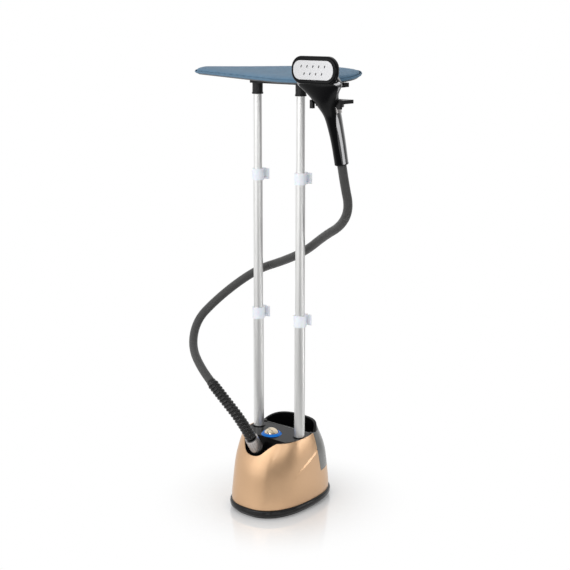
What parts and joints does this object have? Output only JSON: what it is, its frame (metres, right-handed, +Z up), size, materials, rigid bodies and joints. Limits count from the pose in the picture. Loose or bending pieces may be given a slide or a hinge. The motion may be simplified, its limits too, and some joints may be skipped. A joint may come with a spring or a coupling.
{
  "type": "garment steamer",
  "caption": "Upright garment steamer: oval boiler base with lift-out tank, telescopic twin mast, tilting padded board and a steam head hung in a fork on a flexible hose",
  "frame": {"origin": "on the floor, under the middle of the base", "axes": "+Z up along the mast, the two mast tubes stand side by side along X, and the hose and the steam plate are on the -Y side, towards the user"},
  "size_m": [0.6605, 0.3765, 1.3735],
  "materials": {
    "gold_shell": "satin metallic champagne gold",
    "black_gloss": "gloss black",
    "black_matte": "satin black",
    "gunmetal": "gloss dark grey",
    "silver_plastic": "satin silver",
    "white_plastic": "pale white",
    "tube_silver": "satin anodised",
    "tank_smoke": "clear smoke",
    "light_ring": "translucent blue",
    "knob_metal": "polished champagne",
    "board_fabric": "woven blue cover over padding",
    "hose_dark": "matt charcoal",
    "rubber_dark": "matt black",
    "boiler_alloy": "as cast",
    "steel": "bright"
  },
  "bodies": {
    "base": {"rubber_feet": "rubber_dark", "base_pan": "black_matte", "base_screws": "steel", "body_shell": "gold_shell", "top_deck": "black_gloss", "tank_cradle": "black_matte", "feed_valve_seat": "white_plastic", "feed_tube": "rubber_dark", "boiler": "boiler_alloy", "heating_element": "steel", "thermostat": "steel", "thermal_fuse": "white_plastic", "steam_pipe": "steel", "hose_socket": "white_plastic", "hose_socket_seal": "rubber_dark", "hose_bend_guard": "hose_dark", "cord_gland": "black_matte", "terminal_block": "white_plastic", "dial_switch": "white_plastic", "knob_light_ring": "light_ring", "left_lower_tube": "tube_silver", "right_lower_tube": "tube_silver", "lower_clamp_collars": "white_plastic", "lower_clamp_pins": "steel", "hose_lower": "hose_dark"},
    "hose_nut": {"hose_nut": "silver_plastic"},
    "dial": {"dial_knob": "knob_metal"},
    "tank": {"water_tank": "tank_smoke", "tank_lid": "black_gloss", "tank_valve": "white_plastic"},
    "left_lower_lever": {"left_lower_lever": "white_plastic"},
    "right_lower_lever": {"right_lower_lever": "white_plastic"},
    "mid_stage": {"left_mid_tube": "tube_silver", "right_mid_tube": "tube_silver", "mid_glide_bushes": "white_plastic", "upper_clamp_collars": "white_plastic", "upper_clamp_pins": "steel", "hose_middle": "hose_dark"},
    "left_upper_lever": {"left_upper_lever": "white_plastic"},
    "right_upper_lever": {"right_upper_lever": "white_plastic"},
    "upper_stage": {"left_upper_tube": "tube_silver", "right_upper_tube": "tube_silver", "upper_glide_bushes": "white_plastic", "left_top_socket": "black_matte", "right_top_socket": "black_matte", "carrier_beam": "black_matte", "hinge_pins": "steel", "hanger_fork": "black_matte", "hose_upper": "hose_dark"},
    "board": {"board_tray": "black_matte", "board_cover": "board_fabric"},
    "handset": {"handset_front_shell": "black_matte", "handset_rear_shell": "gunmetal", "handset_screws": "steel", "head_bezel": "black_gloss", "steam_plate": "steel", "steam_chamber": "white_plastic", "steam_tube": "white_plastic", "neck_collar": "silver_plastic", "hose_cuff": "black_matte"}
  },
  "joints": [
    {"name": "hose_nut_turn", "type": "hinge", "parent": "base", "child": "hose_nut", "pos_m": [0, -0.1055, 0.1885], "axis": [0, -0.515, 0.8572], "range_deg": [0, 360]},
    {"name": "dial_turn", "type": "hinge", "parent": "base", "child": "dial", "pos_m": [0, -0.044, 0.228], "axis": [0, 0, 1], "range_deg": [0, 270]},
    {"name": "tank_lift", "type": "slide", "parent": "base", "child": "tank", "axis": [0, 0, 1], "range_m": [0, 0.16]},
    {"name": "left_lower_lever_flip", "type": "hinge", "parent": "base", "child": "left_lower_lever", "pos_m": [-0.082, 0.0162, 0.592], "axis": [0, 0, 1], "range_deg": [0, 100]},
    {"name": "right_lower_lever_flip", "type": "hinge", "parent": "base", "child": "right_lower_lever", "pos_m": [0.082, 0.0162, 0.592], "axis": [0, 0, 1], "range_deg": [0, 100]},
    {"name": "mid_stage_slide", "type": "slide", "parent": "base", "child": "mid_stage", "axis": [0, 0, 1], "range_m": [-0.28, 0], "deforming": ["hose_lower"]},
    {"name": "left_upper_lever_flip", "type": "hinge", "parent": "mid_stage", "child": "left_upper_lever", "pos_m": [-0.082, 0.01445, 1.017], "axis": [0, 0, 1], "range_deg": [0, 100]},
    {"name": "right_upper_lever_flip", "type": "hinge", "parent": "mid_stage", "child": "right_upper_lever", "pos_m": [0.082, 0.01445, 1.017], "axis": [0, 0, 1], "range_deg": [0, 100]},
    {"name": "upper_stage_slide", "type": "slide", "parent": "mid_stage", "child": "upper_stage", "axis": [0, 0, 1], "range_m": [-0.15, 0], "deforming": ["hose_middle"]},
    {"name": "board_tilt", "type": "hinge", "parent": "upper_stage", "child": "board", "pos_m": [0, -0.009, 1.3055], "axis": [1, 0, 0], "range_deg": [-20, 0]},
    {"name": "handset_slide", "type": "slide", "parent": "upper_stage", "child": "handset", "axis": [0, -1, 0], "range_m": [0, 0.055], "deforming": ["hose_upper"]}
  ]
}
